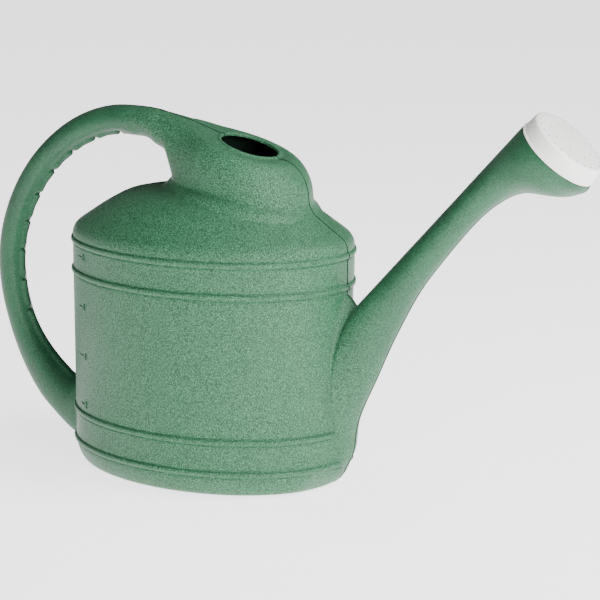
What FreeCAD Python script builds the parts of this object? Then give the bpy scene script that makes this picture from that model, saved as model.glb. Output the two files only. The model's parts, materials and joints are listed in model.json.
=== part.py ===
import FreeCAD, Part

import math
import os

V = FreeCAD.Vector

# A watering can: a one-piece hollow plastic moulding and a white rose that pulls off its spout.
# Millimetres and degrees. The can stands on z = 0. +X runs towards the spout. The moulding's
# parting plane is Y = 0, and X = 0 is the middle of the tank. The moulding is divided into
# regions that meet face to face, each one a node of its own.

# ---- Driving dimensions: tank
wall = 1.8                   # thickness of the moulding everywhere
tank_half_length = 137.0     # oval tank, outside, along X
tank_half_width = 98.0       # and along Y
base_round = 19.0            # rounding where the wall turns under the tank
floor_dip = 0.3              # the rounding would end this far under the flat floor that cuts it
base_height = 37.0           # height of the base tray region
wall_top = 217.0             # height where the upright wall ends
shoulder_round = 14.0        # rounding from the wall into the sloping shoulder
shoulder_slope = 34.5        # slope of the shoulder above it
shoulder_run = 27.0          # how far the straight slope ends inside the tank's wall, along X
crown_round = 120.0          # rounding from that slope into the flat crown
low_beads = (23.0, 52.5)     # heights of the lower stiffening beads round the wall
high_beads = (32.5, 4.0)     # and how far the upper ones lie under the wall's end
bead_width = 7.0
bead_proud = 2.0
mark_heights = (62.5, 108.9, 155.3, 201.7)   # level marks, one every 1.9 litres
mark_length = 11.0
mark_width = 2.0
mark_proud = 0.8
mark_place = 135.0           # where they stand on the oval, from +X towards -Y
mark_reach = 12.0            # room either side of that place for the wall's curve

# ---- Driving dimensions: filler hood
hood_rise = 40.6             # centre of the mouth above the tank's crown
hood_place = 39.0            # and its place along X
hood_slope = 18.1            # the mouth faces forwards and up by this much
mouth_radius = 26.5
rim_width = 4.0              # raised rim round the mouth
rim_proud = 1.2
rim_depth = 9.0              # how far the rim's collar reaches down to meet the hood
mouth_depth = 12.0           # the mouth is cut this far down, through the hood's top
hood_root = 42.0             # the hood's sections end this far under the crown
# Sections from the nose to the neck. Distance in front of the mouth's centre, depth under the
# mouth's plane, lean of the section's foot forwards, half width, squareness, share of the wall
# that the hollow stands back from the nose.
hood_sections = (
    (57.5, 22.0, 1.5, 15.0, 2.0, 1.0),
    (54.5, 12.5, 3.0, 24.5, 2.1, 0.9),
    (48.0, 4.5, 5.0, 34.0, 2.3, 0.6),
    (35.0, 0.5, 6.0, 43.5, 2.6, 0.2),
    (14.0, 0.0, 5.0, 49.5, 2.6, 0.0),
    (-12.0, 0.0, 2.0, 48.5, 2.6, 0.0),
    (-40.0, 0.0, -1.0, 41.5, 2.5, 0.0),
)
# Neck: place behind the mouth's centre, height above and under it, half width, squareness.
neck_sections = (
    (64.0, 20.5, -52.0, 31.5, 2.3),
    (81.0, 25.8, -23.5, 23.5, 2.1),
    (97.0, 28.3, -1.5, 17.5, 2.0),
    (113.0, 29.0, 1.8, 14.5, 2.0),
)

# ---- Driving dimensions: handle
handle_reach = 95.4          # how far the grip's back stands behind the tank
handle_depth = 27.0          # thickness of the grip, seen from the side
handle_width = 27.0          # and from above
handle_peak = 127.0          # the grip's highest place, behind the mouth's centre
handle_rise = 29.0           # and above it
handle_mid_height = 174.0    # height of the grip's furthest place
foot_height = 92.0           # the foot's region begins here
handle_bow = 1.85            # exponent of the upper bow: 2 is an ellipse
handle_lower_radius = 165.0  # radius of the lower bow
handle_foot_depth = 46.5     # thickness of the grip where it enters the tank
handle_foot_width = 34.0
foot_start = 15.0            # the lower bow thickens between these two turns
foot_full = 60.0
foot_end = 72.0              # and ends inside the tank
foot_end_size = 0.6          # its last section, against the full one
grip_notch = 1.4             # finger grips: depth of the shallow hollows
grip_pitch = 13.0            # turn between two of them
grip_first = 25.0            # where they begin and end on the bow
grip_last = 120.0
upper_steps = 18             # sections along each bow
lower_steps = 8

# ---- Driving dimensions: spout
spout_valley = 9.5           # where the spout's top line leaves the tank, in front of the wall
spout_valley_height = 168.0
spout_reach = 191.8          # rose's seat in front of the tank's wall
spout_height = 317.7         # and above the ground
rose_tilt = 49.9             # the rose's axis above +X
# place along the top line, depth of the section, its lean below +X, half width
spout_sections = (
    (-0.102, 143.0, 90.0, 29.0),
    (0.0, 136.0, 90.0, 25.5),
    (0.05, 97.5, 89.0, 23.5),
    (0.13, 63.0, 80.0, 21.0),
    (0.27, 38.5, 68.0, 18.0),
    (0.42, 30.0, 57.0, 15.5),
    (0.60, 26.8, 46.0, 14.0),
    (0.72, 30.0, 42.0, 16.0),
    (0.82, 40.5, 42.0, 21.5),
    (0.91, 66.0, 41.0, 33.5),
    (0.97, 75.0, 40.5, 37.3),
)

spout_cuts = (0.2, 0.46, 0.74)   # places where the spout is divided into its regions

# ---- Driving dimensions: rose and its seat
seat_radius = 33.7           # neck that the rose is pushed on to
seat_length = 9.0
seat_clearance = 0.3         # between the rose and the moulding
rose_wall = 1.8
rose_height = 16.0
rose_flare = 1.0             # the rose's side is this much wider at its open end
rose_edge_round = 3.0
rose_crown = 1.4             # how far the face bulges
flange_proud = 1.0           # bead round the open end
flange_height = 1.6
hole_radius = 0.8
hole_rings = ((31.3, 24), (20.5, 8))   # radius and number of holes

section_points = 20          # points on each lofted oval
beyond_all = 1000.0          # further than any part of the can

# ---- Values that follow
crown_start = tank_half_length - shoulder_run


def polar(centre, radius, angle):
    """Point (x, z) at an angle, in degrees, on a circle in the plane Y = 0."""
    a = math.radians(angle)
    return (centre[0] + radius * math.cos(a), centre[1] + radius * math.sin(a))


def flat(point):
    """Vector of an (x, z) pair in the plane Y = 0."""
    return V(point[0], 0, point[1])


def line(p, q):
    return Part.LineSegment(flat(p), flat(q)).toShape()


def arc(p, q, r):
    return Part.Arc(flat(p), flat(q), flat(r)).toShape()


# ---- Shapes of the tank

def shoulder_end():
    """End of the shoulder's rounding, on the outer skin."""
    centre = (tank_half_length - shoulder_round, wall_top)
    return polar(centre, shoulder_round, 90 - shoulder_slope)


def crown_centre():
    """Centre of the rounding from the slope into the crown."""
    x, z = shoulder_end()
    z_start = z + (x - crown_start) * math.tan(math.radians(shoulder_slope))
    return polar((crown_start, z_start), -crown_round, 90 - shoulder_slope)


def crown_height():
    return crown_centre()[1] + crown_round


def bead_heights():
    return low_beads + tuple(wall_top - under for under in high_beads)


def tank_outline(inset):
    """Half outline of the tank, from the middle of its floor to the middle of its crown."""
    skin = tank_half_length - inset
    low = (tank_half_length - base_round, base_round - floor_dip)
    floor = inset - floor_dip
    high = (tank_half_length - shoulder_round, wall_top)
    crown = crown_centre()
    here = (skin, low[1])
    edges = [line((0, floor), (low[0], floor))]
    edges.append(arc((low[0], floor), polar(low, base_round - inset, -45), here))
    for height in bead_heights():
        start = (skin, height - bead_width / 2)
        end = (skin, height + bead_width / 2)
        if start[1] - here[1] > 1e-6:
            edges.append(line(here, start))
        edges.append(arc(start, (skin + bead_proud, height), end))
        here = end
    edges.append(line(here, (skin, wall_top)))
    slope = 90 - shoulder_slope
    turn = polar(high, shoulder_round - inset, slope)
    edges.append(arc((skin, wall_top), polar(high, shoulder_round - inset, slope / 2), turn))
    start = polar(crown, crown_round - inset, slope)
    edges.append(line(turn, start))
    top = (crown[0], crown[1] + crown_round - inset)
    middle = polar(crown, crown_round - inset, 90 - shoulder_slope / 2)
    edges.append(arc(start, middle, top))
    edges.append(line(top, (0, top[1])))
    edges.append(line((0, top[1]), (0, floor)))
    return Part.Wire(edges)


def tank_solid(inset):
    """The tank's outline turned about Z, narrowed to its oval and cut flat underneath."""
    solid = Part.Face(tank_outline(inset)).revolve(V(0, 0, 0), V(0, 0, 1), 360)
    narrow = FreeCAD.Matrix()
    narrow.scale(1, (tank_half_width - inset) / (tank_half_length - inset), 1)
    return solid.transformGeometry(narrow).common(slab(inset, beyond_all))


# ---- Ovals for the hood, the handle and the spout

def swing(angle, power):
    """Cosine and sine raised to a power, with their signs kept."""
    c, s = math.cos(angle), math.sin(angle)
    return (math.copysign(abs(c) ** power, c), math.copysign(abs(s) ** power, s))


def oval(top, bottom, half_width, inset, squareness=2.0):
    """Closed oval through two (x, z) points, half_width each way in Y. 2 is a true ellipse."""
    half = math.dist(top, bottom) / 2
    centre = ((top[0] + bottom[0]) / 2, (top[1] + bottom[1]) / 2)
    up = ((top[0] - bottom[0]) / (2 * half), (top[1] - bottom[1]) / (2 * half))
    points = []
    for i in range(section_points):
        c, s = swing(2 * math.pi * i / section_points, 2 / squareness)
        d = (half - inset) * c
        points.append(V(centre[0] + up[0] * d, (half_width - inset) * s, centre[1] + up[1] * d))
    curve = Part.BSplineCurve()
    curve.interpolate(points, PeriodicFlag=True)
    return Part.Wire(curve.toShape())


# ---- Shapes of the filler hood and the handle that grows out of it

def mouth_height():
    return crown_height() + hood_rise


def on_mouth(shape):
    """Moves a shape drawn about the origin, axis up, to the mouth."""
    shape.Placement = FreeCAD.Placement(
        V(hood_place, 0, mouth_height()),
        FreeCAD.Rotation(V(0, 1, 0), hood_slope),
    )
    return shape


def mouth_cutter():
    return on_mouth(Part.makeCylinder(mouth_radius, 2 * mouth_depth, V(0, 0, -mouth_depth)))


def hood_solid(inset):
    """Hood, from its nose back to the end of the handle's neck."""
    slope = math.tan(math.radians(hood_slope))
    foot = crown_height() - hood_root
    ovals = []
    for ahead, drop, lean, half_width, squareness, stand_back in hood_sections:
        x = hood_place + ahead - stand_back * inset
        top = (x, mouth_height() - ahead * slope - drop)
        ovals.append(oval(top, (x + lean, foot), half_width, inset, squareness))
    for row in neck_sections:
        ovals.append(neck_oval(row, inset))
    return Part.makeLoft(ovals, True)


def neck_oval(row, inset):
    behind, above, under, half_width, squareness = row
    x = hood_place - behind
    top = (x, mouth_height() + above)
    return oval(top, (x, mouth_height() + under), half_width, inset, squareness)


def grip_hollow(turn):
    """Depth of the finger grips at a turn along the bow."""
    if turn < grip_first or turn > grip_last:
        return 0.0
    return grip_notch * math.sin(math.pi * turn / grip_pitch) ** 2


def square_section(place, out, half, half_width, turn):
    """Top point, bottom point and half width of a section square to the grip."""
    size = math.hypot(out[0], out[1])
    ox, oz = out[0] / size, out[1] / size
    inner = half - grip_hollow(turn)
    top = (place[0] + ox * half, place[1] + oz * half)
    bottom = (place[0] - ox * inner, place[1] - oz * inner)
    return (top, bottom, half_width)


def upper_bow():
    """Sections from the handle's peak back to its furthest place."""
    half = handle_depth / 2
    centre = (hood_place - handle_peak, handle_mid_height)
    across = tank_half_length + handle_reach - half + centre[0]
    rise = mouth_height() + handle_rise - half - handle_mid_height
    rows = []
    for i in range(upper_steps + 1):
        t = math.pi / 2 * i / upper_steps
        c, s = swing(t, 2 / handle_bow)
        gc, gs = swing(t, 2 - 2 / handle_bow)
        place = (centre[0] - across * s, centre[1] + rise * c)
        rows.append(square_section(place, (-gs / across, gc / rise), half,
                                   handle_width / 2, math.degrees(t)))
    return rows


def lower_bow():
    """Sections from the furthest place down to the foot, which thickens into the tank."""
    half = handle_depth / 2
    x = -tank_half_length - handle_reach + half + handle_lower_radius
    centre = (x, handle_mid_height)
    rows = []
    for i in range(1, lower_steps + 2):
        turn = foot_full * i / lower_steps if i <= lower_steps else foot_end
        share = min(1.0, max(0.0, (turn - foot_start) / (foot_full - foot_start)))
        swell = share * share * (3 - 2 * share)
        size = foot_end_size if turn == foot_end else 1.0
        depth = (half + (handle_foot_depth - handle_depth) / 2 * swell) * size
        width = (handle_width + (handle_foot_width - handle_width) * swell) / 2 * size
        place = polar(centre, handle_lower_radius, 180 + turn)
        rows.append(square_section(place, polar((0, 0), 1, 180 + turn), depth, width, 90 + turn))
    return rows


def bow_solid(rows, first, inset):
    """Part of the handle through its sections, after a first oval."""
    ovals = [first]
    for top, bottom, half_width in rows:
        ovals.append(oval(top, bottom, half_width, inset))
    return Part.makeLoft(ovals, True)


def upper_solid(inset):
    return bow_solid(upper_bow(), neck_oval(neck_sections[-1], inset), inset)


def lower_solid(inset):
    top, bottom, half_width = upper_bow()[-1]
    return bow_solid(lower_bow(), oval(top, bottom, half_width, inset), inset)


# ---- Shapes of the spout and the rose

def seat_centre():
    return (tank_half_length + spout_reach, spout_height)


def rose_radius():
    """Outer radius of the rose at its open end, without the bead."""
    return seat_radius + seat_clearance + rose_wall + rose_flare


def rim_radius():
    return rose_radius() + flange_proud


def on_spout(shape):
    """Moves a shape drawn about the origin, axis up, to the rose's seat."""
    x, z = seat_centre()
    shape.Placement = FreeCAD.Placement(V(x, 0, z), FreeCAD.Rotation(V(0, 1, 0), 90 - rose_tilt))
    return shape


def spout_solid(inset):
    """Spout, from inside the tank to the rose's seat, whose section is a full circle."""
    valley = (tank_half_length + spout_valley, spout_valley_height)
    rim_top = polar(seat_centre(), rim_radius(), 90 + rose_tilt)
    rim_bottom = polar(seat_centre(), rim_radius(), rose_tilt - 90)
    wires = []
    for place, depth, lean, half_width in spout_sections:
        x = valley[0] + place * (rim_top[0] - valley[0])
        z = valley[1] + place * (rim_top[1] - valley[1])
        bottom = polar((x, z), depth, -lean)
        wires.append(oval((x, z), bottom, half_width, inset))
    wires.append(oval(rim_top, rim_bottom, rim_radius(), inset))
    return Part.makeLoft(wires, True)


def rose_outline():
    """Half outline of the rose: a cap with a thin wall, a bead at its open end, a bulging face."""
    low = seat_clearance
    base = rose_radius()
    face = base - rose_flare
    inner = seat_radius + seat_clearance
    top = low + rose_height
    shoulder = top - rose_edge_round
    edge = (face - rose_edge_round, shoulder)
    bead = low + flange_height
    edges = [line((inner, low), (base, low))]
    edges.append(arc((base, low), (base + flange_proud, (low + bead) / 2), (base, bead)))
    edges.append(line((base, bead), (face, shoulder)))
    edges.append(arc((face, shoulder), polar(edge, rose_edge_round, 45), (edge[0], top)))
    edges.append(arc((edge[0], top), dome_middle(edge[0], top, rose_crown), (0, top + rose_crown)))
    ceiling = top - rose_wall
    edges.append(line((0, top + rose_crown), (0, ceiling + rose_crown)))
    inside = inner - rose_edge_round / 2
    end = (inside, ceiling)
    edges.append(arc((0, ceiling + rose_crown), dome_middle(inside, ceiling, rose_crown), end))
    bend = (inside, ceiling - rose_edge_round / 2)
    wall_end = (inner, bend[1])
    edges.append(arc(end, polar(bend, rose_edge_round / 2, 45), wall_end))
    edges.append(line(wall_end, (inner, low)))
    return Part.Wire(edges)


def dome_middle(reach, height, rise):
    """Point half way out on a shallow dome of a given reach and rise."""
    radius = (reach * reach + rise * rise) / (2 * rise)
    half = reach / 2
    return (half, height + rise - radius + math.sqrt(radius * radius - half * half))


# ---- Regions used to divide the moulding

def slab(low, high):
    """Everything between two heights."""
    size = 2 * beyond_all
    return Part.makeBox(size, size, high - low, V(-beyond_all, -beyond_all, low))


def beyond(x, z, angle):
    """Half space that starts at (x, z) and runs on in the direction of an angle above +X."""
    size = 2 * beyond_all
    block = Part.makeBox(size, size, size, V(-beyond_all, -beyond_all, 0))
    block.Placement = FreeCAD.Placement(V(x, 0, z), FreeCAD.Rotation(V(0, 1, 0), 90 - angle))
    return block


def top_line_place(share):
    """Place (x, z) on the spout's top line."""
    valley = (tank_half_length + spout_valley, spout_valley_height)
    rim_top = polar(seat_centre(), rim_radius(), 90 + rose_tilt)
    x = valley[0] + share * (rim_top[0] - valley[0])
    z = valley[1] + share * (rim_top[1] - valley[1])
    return (x, z)


# ---- Nodes

def make_tank(outer, hollow, openings):
    """The tank, divided by height into base tray, upright wall and shoulder."""
    shell = outer["tank"].cut(hollow["tank"]).cut(openings)
    return {
        "tank_base": shell.common(slab(-wall, base_height)),
        "tank_wall": shell.common(slab(base_height, wall_top)),
        "tank_shoulder": shell.common(slab(wall_top, beyond_all)),
    }


def make_level_marks():
    """Short raised bars on the wall, one at each level mark."""
    a = math.radians(mark_place)
    x = tank_half_length * math.cos(a)
    y = -tank_half_width * math.sin(a)
    skin = tank_solid(-mark_proud)
    tank = tank_solid(0)
    bars = []
    for height in mark_heights:
        low = V(x - mark_length / 2, y - mark_reach, height - mark_width / 2)
        bar = Part.makeBox(mark_length, 2 * mark_reach, mark_width, low)
        bars.append(bar.common(skin).cut(tank))
    return Part.makeCompound([solid for bar in bars for solid in bar.Solids])


def make_filler_rim(outer):
    """Rounded collar round the mouth, standing on the hood."""
    a = mouth_radius
    b = mouth_radius + rim_width
    edges = [line((a, -rim_depth), (b, -rim_depth)), line((b, -rim_depth), (b, 0))]
    edges.append(arc((b, 0), ((a + b) / 2, rim_proud), (a, 0)))
    edges.append(line((a, 0), (a, -rim_depth)))
    ring = Part.Face(Part.Wire(edges)).revolve(V(0, 0, 0), V(0, 0, 1), 360)
    return on_mouth(ring).cut(outer["hood"])


def make_hood(outer, hollow):
    """Filler hood, open at its mouth, to the tank and to the hollow grip."""
    return outer["hood"].cut(hollow["hood"]).cut(outer["tank"]).cut(mouth_cutter())


def make_handle(outer, hollow):
    """Hollow grip, divided into its upper bow, its lower bow and the foot on the tank."""
    lower = outer["lower"].cut(hollow["lower"]).cut(outer["tank"])
    return {
        "handle_upper": outer["upper"].cut(hollow["upper"]),
        "handle_lower": lower.common(slab(foot_height, beyond_all)),
        "handle_foot": lower.common(slab(-wall, foot_height)),
    }


def make_spout(outer, hollow):
    """Spout, divided into a root, a lower and an upper tube and the head."""
    shell = outer["spout"].cut(hollow["spout"]).cut(outer["tank"])
    cuts = []
    for share in spout_cuts:
        x, z = top_line_place(share)
        cuts.append(beyond(x, z, rose_tilt))
    return {
        "spout_root": shell.cut(cuts[0]),
        "spout_lower": shell.common(cuts[0]).cut(cuts[1]),
        "spout_upper": shell.common(cuts[1]).cut(cuts[2]),
        "spout_head": shell.common(cuts[2]),
    }


def make_seat():
    """Neck on the spout's end that the rose is pushed on to, with its end lip."""
    bore = seat_radius - wall
    lip = rim_radius() - wall
    low = -wall
    edges = [line((bore, low), (lip, low)), line((lip, low), (lip, 0))]
    edges.append(line((lip, 0), (seat_radius, 0)))
    edges.append(line((seat_radius, 0), (seat_radius, seat_length - wall / 2)))
    edges.append(line((seat_radius, seat_length - wall / 2), (seat_radius - wall / 2, seat_length)))
    edges.append(line((seat_radius - wall / 2, seat_length), (bore, seat_length)))
    edges.append(line((bore, seat_length), (bore, low)))
    neck = Part.Face(Part.Wire(edges)).revolve(V(0, 0, 0), V(0, 0, 1), 360)
    return on_spout(neck)


def make_rose():
    """The rose: a pierced cap."""
    cap = Part.Face(rose_outline()).revolve(V(0, 0, 0), V(0, 0, 1), 360)
    drills = []
    for radius, count in hole_rings:
        for i in range(count):
            a = 2 * math.pi * (i + 0.5) / count
            start = V(radius * math.cos(a), radius * math.sin(a), seat_length)
            drills.append(Part.makeCylinder(hole_radius, 2 * rose_height, start))
    return on_spout(cap.cut(Part.makeCompound(drills)))


def main():
    makers = {
        "tank": tank_solid,
        "hood": hood_solid,
        "upper": upper_solid,
        "lower": lower_solid,
        "spout": spout_solid,
    }
    outer = {name: maker(0) for name, maker in makers.items()}
    hollow = {name: maker(wall) for name, maker in makers.items()}
    openings = hollow["hood"].fuse(hollow["lower"]).fuse(hollow["spout"])
    nodes = make_tank(outer, hollow, openings)
    nodes["level_marks"] = make_level_marks()
    nodes["filler_hood"] = make_hood(outer, hollow)
    nodes["filler_rim"] = make_filler_rim(outer)
    nodes.update(make_handle(outer, hollow))
    nodes.update(make_spout(outer, hollow))
    nodes["spout_seat"] = make_seat()
    nodes["rose"] = make_rose()
    os.makedirs("parts", exist_ok=True)
    for name, shape in nodes.items():
        print(name, len(shape.Solids), shape.isValid(), round(shape.Volume / 1000, 1), "cm3")
        shape.exportStep("parts/" + name + ".step")


main()
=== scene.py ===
"""A moulded garden watering can: its looks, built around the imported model.

The green body is one hollow blow moulding: tank, filler hood, looped handle and spout share one
skin, grown here as a single sheet of quads and then given its wall. The white rose is a separate
pierced cap that pulls off the end of the spout. Sizes are in millimetres until a point is placed.
"""

import json
import logging
import math
from dataclasses import dataclass
from enum import Enum
from typing import Callable, Dict, List, Optional, Sequence, Tuple

import bmesh
import bpy
from mathutils import Matrix, Vector


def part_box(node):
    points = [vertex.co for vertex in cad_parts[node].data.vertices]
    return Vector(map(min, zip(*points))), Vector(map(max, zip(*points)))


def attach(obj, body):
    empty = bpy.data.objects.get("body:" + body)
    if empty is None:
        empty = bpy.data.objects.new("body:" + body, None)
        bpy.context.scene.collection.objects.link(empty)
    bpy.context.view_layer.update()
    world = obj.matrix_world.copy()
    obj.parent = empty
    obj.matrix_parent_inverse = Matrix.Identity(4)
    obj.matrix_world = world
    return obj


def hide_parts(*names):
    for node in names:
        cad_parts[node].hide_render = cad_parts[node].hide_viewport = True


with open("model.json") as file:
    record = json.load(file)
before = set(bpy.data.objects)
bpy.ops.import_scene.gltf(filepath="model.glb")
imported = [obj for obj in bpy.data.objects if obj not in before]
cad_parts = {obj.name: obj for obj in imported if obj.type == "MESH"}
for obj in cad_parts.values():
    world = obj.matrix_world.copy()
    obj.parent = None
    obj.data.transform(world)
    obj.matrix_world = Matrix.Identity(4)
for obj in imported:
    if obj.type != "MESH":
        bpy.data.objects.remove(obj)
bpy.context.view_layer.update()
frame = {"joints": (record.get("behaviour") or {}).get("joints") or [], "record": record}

LOG = logging.getLogger("watering_can")
# Points closer than this, in metres, are one point.
HAIR = 0.00001
MM = 0.001
Pair = Tuple[float, float]
Rows = Tuple[Tuple[float, ...], ...]
UP, ACROSS = Vector((0, 0, 1)), Vector((0, 1, 0))


# ---- Small helpers

def mm(point: Vector) -> Vector:
    """A point in metres, given in millimetres."""
    return Vector(point) * MM


def box_mm(node: str) -> Tuple[Vector, Vector]:
    """The lowest and highest corner of a CAD node, in millimetres."""
    low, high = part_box(node)
    return Vector(low) / MM, Vector(high) / MM


def mix(a: float, b: float, share: float) -> float:
    """The value a share of the way from a to b."""
    return a + (b - a) * share


def ease(value: float, low: float, high: float) -> float:
    """A smooth step from 0 at low to 1 at high."""
    share = min(1.0, max(0.0, (value - low) / (high - low)))
    return share * share * (3.0 - 2.0 * share)


def smooth_row(rows: Sequence[Sequence[float]], place: float) -> List[float]:
    """Reads a table smoothly between its rows.

    Args:
        rows: rows of numbers; the first number of each is its place, rising down the table.
        place: the place to read at.

    Returns:
        The other numbers of the row at that place, on a smooth curve through the table's rows.
    """
    last = len(rows) - 1
    i = 0
    while i < last - 1 and rows[i + 1][0] < place:
        i += 1
    before, low = rows[max(i - 1, 0)], rows[i]
    high, after = rows[i + 1], rows[min(i + 2, last)]
    span = high[0] - low[0]
    u = (place - low[0]) / span
    values = []
    for k in range(1, len(low)):
        left = (high[k] - before[k]) / (high[0] - before[0]) * span
        right = (after[k] - low[k]) / (after[0] - low[0]) * span
        a = 2 * low[k] - 2 * high[k] + left + right
        b = 3 * high[k] - 3 * low[k] - 2 * left - right
        values.append(((a * u + b) * u + left) * u + low[k])
    return values


def arc(centre: Pair, radii: Pair, turns: Sequence[float]) -> List[Pair]:
    """Points round a centre, at turns in degrees."""
    return [(centre[0] + radii[0] * math.cos(math.radians(turn)),
             centre[1] + radii[1] * math.sin(math.radians(turn))) for turn in turns]


def deselect_all() -> None:
    """Leaves edit mode and clears the selection of objects."""
    if bpy.context.object and bpy.context.object.mode != "OBJECT":
        bpy.ops.object.mode_set(mode="OBJECT")
    for thing in list(bpy.context.selected_objects):
        thing.select_set(False)
    bpy.context.view_layer.objects.active = None


def added(name: str, command: Callable[..., object], **settings: object) -> bpy.types.Object:
    """Runs one of Blender's add commands, and names the object it makes."""
    deselect_all()
    command(**settings)
    thing = bpy.context.object
    thing.name = name
    thing.data.name = name
    return thing


def make_active(thing: bpy.types.Object) -> bpy.types.Object:
    """Selects one object alone and makes it the active one."""
    deselect_all()
    thing.hide_set(False)
    thing.select_set(True)
    bpy.context.view_layer.objects.active = thing
    return thing


def edit(thing: bpy.types.Object, kind: str = "VERT") -> bmesh.types.BMesh:
    """Opens an object in edit mode, nothing selected, and returns its mesh."""
    make_active(thing)
    bpy.ops.object.mode_set(mode="EDIT")
    bpy.ops.mesh.select_mode(type=kind)
    bpy.ops.mesh.select_all(action="DESELECT")
    return bmesh.from_edit_mesh(thing.data)


def select_all() -> None:
    """Selects everything shown in edit mode."""
    bpy.ops.mesh.select_all(action="SELECT")


def slice_mesh(place: Sequence[float], normal: Sequence[float]) -> None:
    """Cuts everything shown in edit mode along a plane through a place in metres."""
    select_all()
    bpy.ops.mesh.bisect(plane_co=place, plane_no=normal)


def finish_edit(thing: bpy.types.Object) -> None:
    """Shows the edits made in code and leaves edit mode."""
    bmesh.update_edit_mesh(thing.data)
    bpy.ops.object.mode_set(mode="OBJECT")


def apply_modifier(thing: bpy.types.Object, kind: str, **settings: object) -> None:
    """Adds a modifier with its settings and applies it."""
    make_active(thing)
    bpy.ops.object.modifier_add(type=kind)
    modifier = thing.modifiers[-1]
    for name, value in settings.items():
        setattr(modifier, name, value)
    bpy.ops.object.modifier_apply(modifier=modifier.name)


def bake_place(thing: bpy.types.Object) -> None:
    """Moves an object's place, turn and size into its mesh."""
    make_active(thing)
    bpy.ops.object.transform_apply(location=True, rotation=True, scale=True)


def join(things: List[bpy.types.Object], name: str) -> bpy.types.Object:
    """Joins several meshes into one object with a new name."""
    deselect_all()
    for thing in things:
        thing.select_set(True)
    bpy.context.view_layer.objects.active = things[0]
    if len(things) > 1:
        bpy.ops.object.join()
    joined = bpy.context.view_layer.objects.active
    joined.name = name
    joined.data.name = name
    return joined


def outward(thing: bpy.types.Object) -> None:
    """Merges doubles and turns every face outwards."""
    edit(thing)
    select_all()
    bpy.ops.mesh.remove_doubles(threshold=HAIR)
    bpy.ops.mesh.normals_make_consistent(inside=False)
    bpy.ops.object.mode_set(mode="OBJECT")


def smooth(thing: bpy.types.Object, angle: float) -> None:
    """Shades faces smoothly across edges that turn less than an angle in degrees."""
    make_active(thing)
    bpy.ops.object.shade_smooth_by_angle(angle=math.radians(angle))


# ---- Finishes

def linear(colour: str) -> Tuple[float, float, float, float]:
    """Linear red, green, blue and full alpha from an sRGB hex value such as "3a6b4d"."""
    values = []
    for i in (0, 2, 4):
        c = int(colour[i:i + 2], 16) / 255.0
        values.append(c / 12.92 if c <= 0.04045 else ((c + 0.055) / 1.055) ** 2.4)
    return (values[0], values[1], values[2], 1.0)


class Surface:
    """A material while its nodes are laid out."""

    def __init__(self, name: str) -> None:
        """Starts an empty material."""
        self.material = bpy.data.materials.new(name)
        self.material.use_nodes = True
        self.tree = self.material.node_tree
        self.tree.nodes.clear()

    def add(self, kind: str, inputs: Optional[Dict[object, object]] = None,
            **settings: object) -> bpy.types.Node:
        """Adds a node.

        Args:
            kind: the node's Blender type, without ShaderNode in front.
            inputs: by name or number, each input's value or the socket that feeds it.
            settings: attributes of the node itself.

        Returns:
            The new node.
        """
        node = self.tree.nodes.new("ShaderNode" + kind)
        for name, value in settings.items():
            setattr(node, name, value)
        for name, value in (inputs or {}).items():
            if isinstance(value, bpy.types.NodeSocket):
                self.tree.links.new(value, node.inputs[name])
            else:
                node.inputs[name].default_value = value
        return node

    def noise(self, size_mm: float, detail: float,
              roughness: float = 0.5) -> bpy.types.NodeSocket:
        """Noise in the object's own space, its features a size in millimetres."""
        where = self.add("TexCoord").outputs["Object"]
        return self.add("TexNoise", {"Vector": where, "Scale": 1.0 / (size_mm * MM),
                                     "Detail": detail, "Roughness": roughness}).outputs["Fac"]

    def scaled(self, value: bpy.types.NodeSocket, by: float,
               plus: object) -> bpy.types.NodeSocket:
        """A value times a number, plus a number or another value."""
        return self.add("Math", {0: value, 1: by, 2: plus},
                        operation="MULTIPLY_ADD").outputs[0]

    def ramp(self, factor: bpy.types.NodeSocket,
             *stops: Tuple[float, str]) -> bpy.types.NodeSocket:
        """A colour from a ramp through stops, each a place and an sRGB hex value."""
        node = self.add("ValToRGB", {"Fac": factor})
        elements = node.color_ramp.elements
        while len(elements) < len(stops):
            elements.new(0.5)
        for element, (place, colour) in zip(elements, stops):
            element.position = place
            element.color = linear(colour)
        return node.outputs["Color"]

    def finish(self, inputs: Dict[object, object]) -> bpy.types.Material:
        """Ends the tree in a principled surface and returns the material."""
        shader = self.add("BsdfPrincipled", inputs)
        self.add("OutputMaterial", {"Surface": shader.outputs[0]})
        return self.material


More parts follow.
